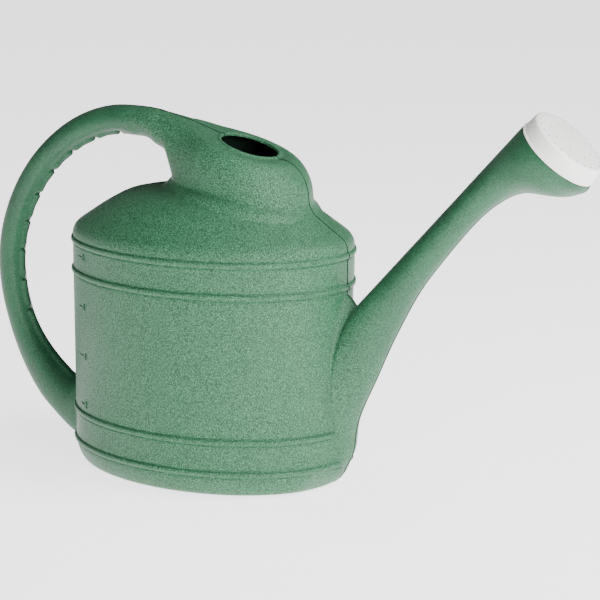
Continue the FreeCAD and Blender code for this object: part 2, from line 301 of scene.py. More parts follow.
@dataclass(frozen=True)
class BlowMouldedHdpe:
    """Green high-density polyethylene, blown against a grained mould.

    It gives the eye a waxy mid green, broken up by fine bumped pebbles with painted light and
    shade, their tops painted lighter and the hollows between them darker, and a soft broad sheen
    that whitens where the surface turns away. The handle and the spout come from polished parts of
    the mould, so they show hardly any grain; their deeper, more even green is painted shade.
    """

    name: str = "blow_moulded_green_hdpe"
    base: str = "27603f"
    # Painted shade in the pebbles' hollows, and painted highlight on their tops.
    low: str = "144227"
    high: str = "629f7a"
    # The green of the smooth handle and spout, darker as painted shade.
    smooth_shaded_base: str = "1c5034"
    smooth_shaded_low: str = "143f2a"
    pebble_mm: float = 1.15
    fine_mm: float = 0.6
    cloud_mm: float = 60.0
    roughness: float = 0.42
    roughness_spread: Pair = (-0.05, 0.07)
    bump_mm: float = 0.48

    def make(self) -> bpy.types.Material:
        """Builds the material."""
        surface = Surface(self.name)
        pebbled = surface.add("Attribute", attribute_name="pebbled").outputs["Fac"]
        where = surface.add("TexCoord").outputs["Object"]
        pebbles = surface.add("TexVoronoi", {"Vector": where, "Scale": 1.0 / (self.pebble_mm * MM),
                                             "Smoothness": 0.6, "Randomness": 1.0},
                              feature="SMOOTH_F1").outputs["Distance"]
        clouds = surface.noise(self.cloud_mm, 3.0, 0.55)
        # Speckle of painted light and shade: pebble tops are painted lighter than the hollows
        # between them.
        grain = surface.scaled(pebbles, -0.55, surface.noise(self.fine_mm, 2.0, 0.6))
        shade = surface.ramp(grain, (0.05, self.low), (0.26, self.base), (0.52, self.high))
        # Painted shade: the smooth handle and spout take a darker, more even green.
        plain = surface.ramp(clouds, (0.35, self.smooth_shaded_low), (0.6, self.smooth_shaded_base))
        # In a colour mix, input 0 is the share, and 6 and 7 are the two colours.
        colour = surface.add("Mix", {0: surface.scaled(pebbled, 0.88, 0.06), 6: plain, 7: shade},
                             data_type="RGBA").outputs[2]
        bump = surface.add("Bump", {"Strength": surface.scaled(pebbled, 0.85, 0.15),
                                    "Distance": self.bump_mm * MM, "Height": grain})
        smoothest, roughest = self.roughness_spread
        gloss = surface.add("MapRange", {"Value": clouds, "From Min": 0.3, "From Max": 0.7,
                                         "To Min": self.roughness + smoothest,
                                         "To Max": self.roughness + roughest})
        return surface.finish({"Base Color": colour, "Roughness": gloss.outputs[0],
                               "Normal": bump.outputs["Normal"], "IOR": 1.53,
                               "Specular IOR Level": 0.36, "Sheen Weight": 0.03,
                               "Sheen Roughness": 0.5})


@dataclass(frozen=True)
class MottledHdpe:
    """Green polyethylene without the mould's grain, in two slightly different shades.

    It gives the eye a plain dark green, for what lies in shade: the inside and the parting line.
    """

    name: str
    dark: Tuple[float, str]
    light: Tuple[float, str]
    mottle_mm: float
    roughness: float
    specular: float

    def make(self) -> bpy.types.Material:
        """Builds the material."""
        surface = Surface(self.name)
        colour = surface.ramp(surface.noise(self.mottle_mm, 2.0), self.dark, self.light)
        return surface.finish({"Base Color": colour, "Roughness": self.roughness, "IOR": 1.53,
                               "Specular IOR Level": self.specular})


# The unlit inside of the blow moulding, its green painted nearly black as shade. It gives the eye
# a deep, nearly black opening.
UNLIT_INSIDE_SHADE = MottledHdpe("green_hdpe_inside_painted_shade", (0.3, "0c1a12"), (0.7, "12241a"),
                           18.0, 0.5, 0.3)
# The parting line, where the mould's halves met and the flash was cut. It gives the eye a
# hair-thin line, duller than the skin around it and painted darker, as painted shade along the
# seam.
PARTING_LINE_SHADE = MottledHdpe("parting_line_painted_shade", (0.3, "071a0f"), (0.85, "1a3d28"),
                            9.0, 0.7, 0.15)


@dataclass(frozen=True)
class InjectionMouldedPp:
    """White polypropylene from a satin tool, for the rose.

    It gives the eye a clean warm white with a satin sheen and a trace of dust in soft patches.
    """

    name: str = "injection_moulded_white_pp"
    colour: str = "fbfaf7"
    dust: str = "f2f0ea"
    grain_mm: float = 1.4
    cloud_mm: float = 22.0
    bump_mm: float = 0.04
    roughness: float = 0.36

    def make(self) -> bpy.types.Material:
        """Builds the material."""
        surface = Surface(self.name)
        colour = surface.ramp(surface.noise(self.cloud_mm, 4.0), (0.2, self.dust),
                              (0.42, self.colour))
        bump = surface.add("Bump", {"Height": surface.noise(self.grain_mm, 2.0), "Strength": 0.2,
                                    "Distance": self.bump_mm * MM})
        return surface.finish({"Base Color": colour, "Normal": bump.outputs[0],
                               "Roughness": self.roughness, "IOR": 1.49,
                               "Subsurface Weight": 0.08, "Subsurface Scale": 1.0,
                               "Subsurface Radius": (0.002, 0.002, 0.0018)})


@dataclass(frozen=True)
class ShadedBore:
    """The walls of the rose's holes: white plastic painted grey, as painted shade deep in the
    holes.

    It gives the eye small soft grey dots on the white face.
    """

    name: str = "hole_bore_painted_shade"
    colour: str = "77776f"
    roughness: float = 0.9

    def make(self) -> bpy.types.Material:
        """Builds the material."""
        return Surface(self.name).finish({"Base Color": linear(self.colour),
                                          "Roughness": self.roughness,
                                          "Specular IOR Level": 0.1})


@dataclass(frozen=True)
class PaperFloor:
    """Seamless white studio paper on a light table: a matt ground, softly lit from behind.

    It gives the eye a clean pale ground with hardly a shadow.
    """

    name: str = "seamless_white_paper"
    colour: str = "f6f6f5"
    fibre: str = "f3f3f2"
    fibre_mm: float = 1000.0 / 240.0
    glow: float = 2.1

    def make(self) -> bpy.types.Material:
        """Builds the material."""
        surface = Surface(self.name)
        colour = surface.ramp(surface.noise(self.fibre_mm, 3.0), (0.3, self.fibre),
                              (0.7, self.colour))
        return surface.finish({"Base Color": colour, "Roughness": 0.9,
                               "Emission Color": (1.0, 1.0, 1.0, 1.0),
                               "Emission Strength": self.glow})


# ---- The sheet of quads that the body is grown from

class Hole(Enum):
    """The openings cut in the tank's skin, from which other parts grow."""

    NECK = 1
    FOOT = 2
    SPOUT = 3


@dataclass
class Ring:
    """One ring of strands, an oval that stands square to the plane Y = 0."""

    centre: Pair
    out: Pair
    half: float
    half_width: float

    def point(self, turn: float) -> Vector:
        """The point at a turn in degrees from the ring's outer side, towards +Y."""
        c, s = math.cos(math.radians(turn)), math.sin(math.radians(turn))
        return Vector((self.centre[0] + self.out[0] * self.half * c, self.half_width * s,
                       self.centre[1] + self.out[1] * self.half * c))

    @staticmethod
    def between(top: Pair, bottom: Pair, half_width: float) -> "Ring":
        """The ring through a top and a bottom point."""
        size = math.dist(top, bottom)
        out = ((top[0] - bottom[0]) / size, (top[1] - bottom[1]) / size)
        centre = ((top[0] + bottom[0]) / 2, (top[1] + bottom[1]) / 2)
        return Ring(centre, out, size / 2, half_width)


class Cage:
    """A sheet of quads grown ring by ring in edit mode, then smoothed."""

    # Points whose nearest neighbour is further off than this, in millimetres, may settle
    # further, by this factor.
    WIDE, WIDE_REACH = 4.5, 2.2

    def __init__(self, name: str, columns: int, radius: float) -> None:
        """Starts from a disc whose rim has a number of columns, the first one towards +X."""
        self.thing = added(name, bpy.ops.mesh.primitive_circle_add, vertices=columns,
                           radius=radius * MM, fill_type="TRIFAN", location=(0, 0, 0))
        mesh = edit(self.thing, "EDGE")
        mesh.verts.layers.int.new("strand")
        for layer in ("pebbled", "grip_run", "grip_side"):
            mesh.verts.layers.float.new(layer)
        mesh.edges.layers.int.new("hole")
        for edge in mesh.edges:
            edge.select_set(edge.is_boundary)
        self.number(Vector((1, 0, 0)))

    def mesh(self) -> bmesh.types.BMesh:
        """The mesh as it is in edit mode now."""
        return bmesh.from_edit_mesh(self.thing.data)

    def show(self) -> None:
        """Shows the changes made in code."""
        bmesh.update_edit_mesh(self.thing.data)

    def number(self, start: Vector) -> None:
        """Numbers the selected loop's points, from the furthest one in a direction, by +Y."""
        mesh = self.mesh()
        strand = mesh.verts.layers.int["strand"]
        near: Dict[bmesh.types.BMVert, List[bmesh.types.BMVert]] = {}
        for edge in mesh.edges:
            if edge.select:
                a, b = edge.verts
                near.setdefault(a, []).append(b)
                near.setdefault(b, []).append(a)
        middle = sum((v.co for v in near), Vector()) / len(near)
        first = max(near, key=lambda v: (v.co - middle).dot(start) - abs(v.co.y))
        first[strand] = 0
        before, here = first, max(near[first], key=lambda v: (v.co - first.co).dot(ACROSS))
        number = 1
        while here is not first:
            here[strand] = number
            number += 1
            step = [v for v in near[here] if v is not before]
            before, here = here, step[0]
        self.show()

    def place(self, spot: Callable[[int], Vector], pebbled: float, run: float = 0.0) -> None:
        """Puts the selected ring's points in their places.

        Args:
            spot: gives a strand's point, in millimetres.
            pebbled: how strong the grain is here, 0 to 1.
            run: on the handle, the way along it from the neck plus 1; 0 elsewhere.
        """
        mesh = self.mesh()
        strand = mesh.verts.layers.int["strand"]
        floats = mesh.verts.layers.float
        grain, along, side = floats["pebbled"], floats["grip_run"], floats["grip_side"]
        for vert in mesh.verts:
            if vert.select:
                vert.co = mm(spot(vert[strand]))
                vert[grain] = pebbled
                vert[along] = run
                turn = 2 * math.pi * vert[strand] / Handle.strands
                vert[side] = -math.cos(turn) if run else 0.0
        self.show()

    def grow(self, spot: Callable[[int], Vector], pebbled: float = 1.0,
             run: float = 0.0) -> None:
        """Extrudes the selected ring and places the new one."""
        bpy.ops.mesh.extrude_region()
        self.place(spot, pebbled, run)

    def cut_hole(self, hole: Hole, chosen: Callable[[Vector], bool]) -> None:
        """Deletes the faces whose middle is chosen, in millimetres, and marks the hole's edge."""
        mesh = self.mesh()
        layer = mesh.edges.layers.int["hole"]
        bpy.ops.mesh.select_mode(type="FACE")
        bpy.ops.mesh.select_all(action="DESELECT")
        faces = [f for f in mesh.faces if chosen(f.calc_center_median() / MM)]
        for face in faces:
            face.select_set(True)
        for face in faces:
            for edge in face.edges:
                if sum(1 for f in edge.link_faces if f.select) == 1:
                    edge[layer] = hole.value
        self.show()
        bpy.ops.mesh.delete(type="FACE")
        bpy.ops.mesh.select_mode(type="EDGE")
        LOG.info("hole %s: %d faces", hole.name, len(faces))

    def select_hole(self, *holes: Hole) -> None:
        """Selects the edges of holes."""
        bpy.ops.mesh.select_mode(type="EDGE")
        bpy.ops.mesh.select_all(action="DESELECT")
        mesh = self.mesh()
        layer = mesh.edges.layers.int["hole"]
        wanted = [hole.value for hole in holes]
        for edge in mesh.edges:
            if edge[layer] in wanted and edge.is_boundary:
                edge.select_set(True)
        self.show()

    def start_at(self, hole: Hole) -> None:
        """Selects a hole's edge and numbers its points from the top."""
        self.select_hole(hole)
        self.number(UP)

    def mark_hole(self, hole: Hole) -> None:
        """Marks the selected open edges as a hole's edge."""
        mesh = self.mesh()
        layer = mesh.edges.layers.int["hole"]
        for edge in mesh.edges:
            if edge.select and edge.is_boundary:
                edge[layer] = hole.value
        self.show()

    @staticmethod
    def smoothed_place(vert: bmesh.types.BMVert) -> Vector:
        """Where a point ends up on the fully smoothed surface."""
        if vert.is_boundary:
            sides = [e.other_vert(vert).co for e in vert.link_edges if e.is_boundary]
            return (sides[0] + sides[1] + 4 * vert.co) / 6
        if any(len(face.verts) != 4 for face in vert.link_faces):
            return vert.co.copy()
        n = len(vert.link_edges)
        edges = sum((e.other_vert(vert).co for e in vert.link_edges), Vector())
        corners = Vector()
        for loop in vert.link_loops:
            corners += loop.link_loop_next.link_loop_next.vert.co
        return (n * n * vert.co + 4 * edges + corners) / (n * (n + 5))

    def settle(self, rounds: int, reach: float) -> None:
        """Moves the cage until its smoothed surface passes through the places it was given.

        Args:
            rounds: how many times to correct.
            reach: the most that a point may move, against its shortest edge, so that close
                rings keep their crisp edges.
        """
        mesh = self.mesh()
        mesh.verts.ensure_lookup_table()
        goals = [v.co.copy() for v in mesh.verts]
        caps = []
        for vert in mesh.verts:
            shortest = min((e.calc_length() for e in vert.link_edges), default=0.0)
            caps.append(shortest * reach * (self.WIDE_REACH if shortest > self.WIDE * MM else 1.0))
        for _ in range(rounds):
            moves = [goal - self.smoothed_place(v) for goal, v in zip(goals, mesh.verts)]
            for vert, goal, cap, move in zip(mesh.verts, goals, caps, moves):
                spot = vert.co + move
                away = spot - goal
                if away.length > cap:
                    spot = goal + away * (cap / away.length)
                vert.co = spot
        self.show()


# ---- The body's regions

@dataclass
class Tank:
    """The oval tank: flat floor, upright wall, sloping shoulder and shallow crown."""

    half_length: float
    half_width: float
    wall_top: float
    disc_reach: float = 60.0
    floor_reach: float = 108.0
    floor_spare: float = 0.6
    base_round: float = 19.0
    base_turns: Tuple[float, ...] = (67.0, 43.2)
    wall_rings: Tuple[float, ...] = (19, 33, 45, 57, 84, 112, 142, 172, 193)
    last_ring_drop: float = 5.0
    shoulder_round: float = 14.0
    shoulder_turns: Tuple[float, ...] = (8.0, 30.0, 55.5)
    shoulder_slope: float = 34.5
    shoulder_run: float = 27.0
    slope_reach: float = 121.0
    crown_round: float = 120.0
    columns: int = 40
    bead_heights: Tuple[float, ...] = (23.0, 52.5, 184.5, 213.0)
    bead_half: float = 2.5
    bead_proud: float = 1.9
    # What the smoothing adds to the beads.
    bead_room: float = 0.28
    bead_fullness: float = 0.9
    bead_groove: float = 0.45
    # Where the groove beside a bead ends, in half beads from the bead's middle.
    groove_end: float = 1.6

    def oval(self, reach: float, column: int, height: float) -> Vector:
        """Point of the tank's plan oval with a half length, in one column."""
        a = 2 * math.pi * column / self.columns
        ratio = self.half_width / self.half_length
        return Vector((reach * math.cos(a), reach * ratio * math.sin(a), height))

    def reach(self, x: float, y: float) -> float:
        """Half length of the plan oval through a point."""
        return math.hypot(x, y * self.half_length / self.half_width)

    def wall_normal(self, spot: Vector) -> Vector:
        """The level direction square to the wall at a point."""
        return Vector((spot.x / self.half_length ** 2, spot.y / self.half_width ** 2,
                       0)).normalized()

    def skin_x(self, y: float, z: float) -> float:
        """How far out the wall is at a place across and a height, with the base's rounding."""
        reach = self.half_length
        if z < self.base_round:
            drop = self.base_round - z
            reach -= self.base_round - math.sqrt(max(self.base_round ** 2 - drop ** 2, 0.0))
        across = y * self.half_length / self.half_width
        return math.sqrt(max(reach * reach - across * across, 0.0))

    def wall_oval(self, oval: Tuple[float, float, float], front: float, share: float) -> Vector:
        """Point of an upright oval drawn on the wall.

        Args:
            oval: its half width, its middle's height and its half height.
            front: 1 on the tank's front, -1 on its back.
            share: the share of the way round, from the oval's top by +Y.

        Returns:
            The point, in millimetres.
        """
        half_width, middle, half_height = oval
        t = 2 * math.pi * share
        y, z = half_width * math.sin(t), middle + half_height * math.cos(t)
        return Vector((front * self.skin_x(y, z), y, z))

    def crown_centre(self) -> Pair:
        """Centre of the rounding from the shoulder's slope into the crown."""
        slope = math.radians(self.shoulder_slope)
        x = self.half_length - self.shoulder_round + self.shoulder_round * math.sin(slope)
        z = self.wall_top + self.shoulder_round * math.cos(slope)
        start = self.half_length - self.shoulder_run
        z += (x - start) * math.tan(slope)
        return (start - self.crown_round * math.sin(slope), z - self.crown_round * math.cos(slope))

    def dome_height(self, x: float, y: float) -> float:
        """Height of the shoulder and the crown over a place in plan."""
        reach = self.reach(x, y)
        centre = self.crown_centre()
        start = self.half_length - self.shoulder_run
        if reach <= centre[0]:
            return centre[1] + self.crown_round
        if reach <= start:
            return centre[1] + math.sqrt(self.crown_round ** 2 - (reach - centre[0]) ** 2)
        edge = centre[1] + math.sqrt(self.crown_round ** 2 - (start - centre[0]) ** 2)
        return edge - (reach - start) * math.tan(math.radians(self.shoulder_slope))

    def bead_rise(self, height: float) -> float:
        """How far the beads raise the wall at a height: a round rib between two fine grooves."""
        across = min(abs(height - bead) for bead in self.bead_heights) / self.bead_half
        if across < 1.0:
            return self.bead_proud * math.sqrt(1 - across * across) ** self.bead_fullness
        if across < self.groove_end:
            depth = math.sin(math.pi * (across - 1) / (self.groove_end - 1))
            return -self.bead_groove * depth
        return 0.0

    def rings(self) -> List[Pair]:
        """Half length and height of each ring, from the floor up to the shoulder's slope."""
        a, b, r, top = self.half_length, self.base_round, self.shoulder_round, self.wall_top
        rows = [(self.floor_reach, 0.0), (a - b + self.floor_spare, 0.0)]
        rows += arc((a - b, b), (b, -b), self.base_turns)
        rows += [(a, height) for height in self.wall_rings]
        rows.append((a, top - self.last_ring_drop))
        rows += arc((a - r, top), (r, r), self.shoulder_turns)
        rows.append((self.slope_reach, self.dome_height(self.slope_reach, 0.0)))
        return rows


@dataclass
class FillerHood:
    """The hood over the filler's mouth, which runs back into the handle's neck."""

    tank: Tank
    mouth: Vector
    mouth_axis: Vector
    base_middle: float = 28.8
    base_half: float = 69.8
    base_width: float = 49.5
    base_egg: float = 0.12
    crotch_shift: float = 4.2
    crotch_lift: float = 4.0
    mouth_radius: float = 26.5
    # The flat top's outline: column turn, place along X, half width, drop under the mouth's plane.
    top_outline: Rows = (
        (0.0, 69.6, 0.0, 0.0),
        (18.0, 67.6, 13.5, 0.1),
        (36.0, 61.5, 25.0, 0.3),
        (54.0, 51.0, 33.0, 0.5),
        (72.0, 37.5, 36.6, 0.6),
        (90.0, 22.5, 35.6, 0.8),
        (108.0, 5.5, 28.8, 1.2),
        (126.0, -13.5, 21.2, 2.6),
        (144.0, -33.0, 17.6, 5.2),
        (153.0, -41.5, 17.4, 7.8),
        (180.0, -49.0, 17.4, 9.0),
    )
    # How far up the hood's sides each row of points stands, as a share.
    rib_shares: Tuple[float, ...] = (0.0, 0.2, 0.42, 0.63, 0.83, 1.0)
    # The lowest row's height above the dome, and what it gains under the neck.
    rib_foot: float = 8.0
    rib_foot_behind: float = 5.0
    # How far the sides swell at the back, and just under the flat top.
    back_swell: float = 5.0
    side_swell: float = 1.3
    flat_curl: float = 3.2
    # Columns from this turn on belong to the neck.
    neck_turn: float = 162.0
    neck_x: float = -49.0
    neck_middle: float = 312.1
    neck_half: float = 19.1
    neck_width: float = 20.5
    neck_narrowing: float = 0.06

    def mouth_height(self, x: float) -> float:
        """Height of the mouth's plane at a place along X."""
        return self.mouth.z - (x - self.mouth.x) * self.mouth_axis.x / self.mouth_axis.z

    def fold(self, column: int) -> Tuple[float, float]:
        """A column's turn, 0 to 180 degrees, and the side it is on."""
        turn = 360.0 * column / self.tank.columns
        return (turn, 1.0) if turn <= 180 else (360.0 - turn, -1.0)

    def base_point(self, column: int, out: float, lift: float) -> Vector:
        """Point near the hood's base outline: further out, and lifted above the dome."""
        turn, side = self.fold(column)
        t = math.radians(turn)
        x = self.base_middle + (self.base_half + out) * math.cos(t)
        x += self.crotch_shift * ease(turn, 120, 165)
        y = (self.base_width + out) * math.sin(t) * (1 + self.base_egg * math.cos(t))
        return Vector((x, side * y, self.tank.dome_height(x, y) + lift))

    def neck_point(self, turn: float, side: float) -> Vector:
        """Point of the neck's oval, at a turn in degrees from its top."""
        t = math.radians(turn)
        low = max(0.0, -math.cos(t))
        return Vector((self.neck_x + self.crotch_shift * 0.5 * low,
                       side * self.neck_width * math.sin(t) * (1 - self.neck_narrowing * low),
                       self.neck_middle + self.neck_half * math.cos(t) + self.crotch_lift * low))

    def behind_point(self, base: Vector, row: int, slide: float, side: float) -> Vector:
        """Point of the rows that run from the base up under the neck and round its end."""
        if row == 0:
            return base
        if row >= 3:
            return self.neck_point({3: 120.0 + slide, 4: 90.0, 5: 60.0 - slide}[row], side)
        end = self.neck_point(120.0 + slide, side)
        along, up = {1: (0.08, 0.42), 2: (0.42, 0.78)}[row]
        return Vector((mix(base.x, end.x, along), mix(base.y, end.y, up),
                       mix(base.z, end.z, up)))

    def rib_point(self, column: int, row: int) -> Vector:
        """Point of the hood's side, in one of the rows 0 (base) to 5 (edge of the flat top)."""
        turn, side = self.fold(column)
        share = self.rib_shares[row]
        foot = self.rib_foot + self.rib_foot_behind * ease(turn, 130, 170)
        base = self.base_point(column, 0.0, foot)
        if turn >= self.neck_turn:
            return self.behind_point(base, row, (turn - self.neck_turn) * 10 / 3, side)
        x, y, drop = smooth_row(self.top_outline, turn)
        top = Vector((x, side * y, self.mouth_height(x) - drop))
        rounded = 1.0 - 0.75 * ease(turn, 100, 153)
        swell = self.back_swell * ease(turn, 112, 153) * math.sin(math.pi * share)
        lip = math.sin(math.pi * min(share * 1.35, 1.0)) - 1.6 * (1 - share) ** 5
        swell += self.side_swell * ease(turn, 25, 60) * (1 - ease(turn, 112, 140)) * lip
        phi = math.pi / 2 * share
        inwards = mix(share, 1 - math.cos(phi), rounded)
        upwards = mix(share, math.sin(phi), rounded)
        return Vector((mix(base.x, top.x, inwards), mix(base.y, top.y, inwards) + side * swell,
                       mix(base.z, top.z, upwards)))

    def mouth_point(self, column: int, radius: float, proud: float) -> Vector:
        """Point of a circle round the mouth, raised above its plane."""
        t = 2 * math.pi * column / self.tank.columns
        along = Vector((self.mouth_axis.z, 0, -self.mouth_axis.x))
        spot = self.mouth + along * (radius * math.cos(t)) + self.mouth_axis * proud
        return spot + Vector((0, radius * math.sin(t), 0))

    def flat_point(self, column: int, share: float, radius: float) -> Vector:
        """Point of the flat top, between its edge and a circle round the mouth."""
        outer = self.rib_point(column, len(self.rib_shares) - 1)
        inner = self.mouth_point(column, radius, 0.0)
        spot = outer.lerp(inner, share)
        drop = self.mouth_height(outer.x) - outer.z
        spot.z = self.mouth_height(spot.x) - drop * (1 - share) ** self.flat_curl
        return spot


@dataclass
class Handle:
    """The hollow grip: a long bow from the hood's neck down to a thick foot on the tank's back."""

    tank: Tank
    reach: float = 95.0
    half: float = 13.4
    peak_x: float = -88.0
    peak_z: float = 333.6
    mid_height: float = 174.0
    bow: float = 1.85
    upper_rings: int = 21
    lower_radius: float = 165.0
    lower_turn: float = 47.0
    lower_rings: int = 11
    foot_half: float = 23.25
    foot_half_width: float = 17.0
    # The foot's outline on the wall: half width, middle's height, half height.
    foot_oval: Tuple[float, float, float] = (19.5, 41.0, 35.0)
    strands: int = 12
    # Place along X, top, underside and half width of each ring near the neck.
    neck_rows: Rows = (
        (-53.4, 331.8, 299.6, 18.9),
        (-58.5, 332.6, 303.0, 17.4),
        (-67.0, 333.3, 305.7, 15.5),
        (-77.5, 333.6, 306.4, 14.0),
    )
    # Outer point, inner point and half width of each ring near the foot.
    foot_rows: Tuple[Tuple[Pair, Pair, float], ...] = (
        ((-160.5, 19.5), (-145.2, 67.8), 16.9),
        ((-147.0, 11.0), (-140.2, 73.0), 18.2),
    )
    notch_pitch: float = 31.8
    notch_depth: float = 3.3
    notch_before: float = 6.0
    notch_after: float = 1.5
    notch_first: float = 10.0
    notch_count: int = 9
    # How far a notch reaches along the handle, and where across it the mesh is cut for it.
    notch_span: float = 7.0
    notch_cuts: Tuple[float, ...] = (-5.5, -3.0, -1.2, 0.0, 0.8, 1.5)
    ridge_height: float = 2.2

    def upper_ring(self, turn: float) -> Ring:
        """Ring of the upper bow: 0 degrees at its peak, 90 at its furthest place."""
        t = math.radians(turn)
        c, s = max(math.cos(t), 0.0), max(math.sin(t), 0.0)
        across = self.tank.half_length + self.reach - self.half + self.peak_x
        rise = self.peak_z - self.half - self.mid_height
        power = 2 / self.bow
        place = (self.peak_x - across * s ** power, self.mid_height + rise * c ** power)
        nx, nz = -(s ** (2 - power)) / across, c ** (2 - power) / rise
        size = math.hypot(nx, nz)
        return Ring(place, (nx / size, nz / size), self.half, self.half)

    def lower_ring(self, turn: float) -> Ring:
        """Ring of the lower bow, at a turn below its furthest place."""
        middle = -self.tank.half_length - self.reach + self.half + self.lower_radius
        t = math.radians(turn)
        out = (-math.cos(t), -math.sin(t))
        place = (middle + self.lower_radius * out[0], self.mid_height + self.lower_radius * out[1])
        swell = ease(turn, 14.0, 58.0)
        return Ring(place, out, mix(self.half, self.foot_half, swell),
                    mix(self.half, self.foot_half_width, swell))

    def rings(self) -> List[Ring]:
        """Every ring from the neck to just before the foot."""
        upper, lower = self.upper_rings, self.lower_rings
        rows = [Ring.between((x, top), (x, low), width) for x, top, low, width in self.neck_rows]
        rows += [self.upper_ring(90.0 * i / upper) for i in range(upper + 1)]
        rows += [self.lower_ring(self.lower_turn * i / lower) for i in range(1, lower + 1)]
        rows += [Ring.between(*row) for row in self.foot_rows]
        return rows

    def foot_point(self, strand: int) -> Vector:
        """Point of the foot's outline on the tank's back."""
        return self.tank.wall_oval(self.foot_oval, -1.0, strand / self.strands)

    def lengths(self) -> List[float]:
        """The way along the handle from its first ring to each ring."""
        rings = self.rings()
        lengths = [0.0]
        for a, b in zip(rings, rings[1:]):
            lengths.append(lengths[-1] + math.dist(a.centre, b.centre))
        return lengths

    def notches(self) -> List[float]:
        """The way along the handle to each notch."""
        first = self.lengths()[len(self.neck_rows)] + self.notch_first
        return [first + i * self.notch_pitch for i in range(self.notch_count)]


@dataclass
class Spout:
    """The spout: a tall root on the tank's front, a tapering tube and a flared head."""

    tank: Tank
    axis: Vector
    seat: Vector
    valley: Pair = (146.5, 168.0)
    rim_radius: float = 37.8
    seat_radius: float = 33.7
    seat_length: float = 9.0
    # What the smoothing takes off the rim and the seat.
    rim_spare: float = 1.003
    seat_spare: float = 1.006
    strands: int = 24
    root_bend: float = 12.0
    # The root's outline on the wall: half width, middle's height, half height.
    root_oval: Tuple[float, float, float] = (30.0, 93.0, 86.0)
    fillet_shares: Tuple[float, ...] = (0.05, 0.25, 0.6)
    fillet_narrowing: float = 0.06
    # Place along the top line, depth of the section, its lean below +X, half width.
    sections: Rows = (
        (0.0, 134.0, 90.3, 26.0),
        (0.022, 116.0, 91.0, 24.8),
        (0.05, 97.5, 89.0, 23.5),
        (0.13, 63.0, 80.0, 21.0),
        (0.27, 38.5, 68.0, 18.0),
        (0.42, 30.0, 57.0, 15.5),
        (0.60, 26.8, 46.0, 14.0),
        (0.72, 30.0, 42.0, 16.0),
        (0.82, 40.5, 42.0, 21.5),
        (0.91, 66.0, 41.0, 33.5),
        (0.97, 75.0, 40.5, 37.3),
    )
    places: Tuple[float, ...] = (0.0, 0.022, 0.05, 0.085, 0.13, 0.19, 0.27, 0.345, 0.42, 0.51,
                                 0.60, 0.66, 0.72, 0.77, 0.82, 0.865, 0.91, 0.94, 0.972)

    def root_point(self, strand: int) -> Vector:
        """Point of the root's outline on the tank's front."""
        return self.tank.wall_oval(self.root_oval, 1.0, strand / self.strands)

    def section_point(self, place: float, strand: int) -> Vector:
        """Point of a section; near the root it bends back at its sides, round the tank."""
        turn = 360.0 * strand / self.strands
        spot = self.section_ring(place).point(turn)
        back = self.root_bend * (1 - ease(place, 0.0, 0.32))
        spot.x -= back * math.sin(math.radians(turn)) ** 2
        return spot

    def fillet_point(self, strand: int, share: float) -> Vector:
        """Point between the root's outline and the spout's first section."""
        spot = self.root_point(strand).lerp(self.section_point(0.0, strand), share)
        narrow = 1.0 - self.fillet_narrowing * math.sin(math.pi * share)
        return Vector((spot.x, spot.y * narrow, spot.z))

    def rim_top(self) -> Pair:
        """The rim's highest point, where the top line ends."""
        return (self.seat.x - self.rim_radius * self.axis.z,
                self.seat.z + self.rim_radius * self.axis.x)

    def section_ring(self, place: float) -> Ring:
        """The section at a place along the top line."""
        depth, lean, half_width = smooth_row(self.sections, place)
        end = self.rim_top()
        top = (mix(self.valley[0], end[0], place), mix(self.valley[1], end[1], place))
        a = math.radians(lean)
        bottom = (top[0] + depth * math.cos(a), top[1] - depth * math.sin(a))
        return Ring.between(top, bottom, half_width)

    def seat_rings(self) -> List[Ring]:
        """The rings of the rim and the seat, circles round the seat's axis."""
        rim, seat = self.rim_radius * self.rim_spare, self.seat_radius * self.seat_spare
        steps = ((rim, -1.6), (rim, -0.7), (rim - 0.7, -0.1), (rim - 2.0, 0.0),
                 (seat + 0.5, -0.2), (seat, 0.5), (seat, 4.5), (seat, self.seat_length - 0.6),
                 (seat - 0.7, self.seat_length))
        return [Ring((self.seat.x + self.axis.x * along, self.seat.z + self.axis.z * along),
                     (-self.axis.z, self.axis.x), radius, radius) for radius, along in steps]


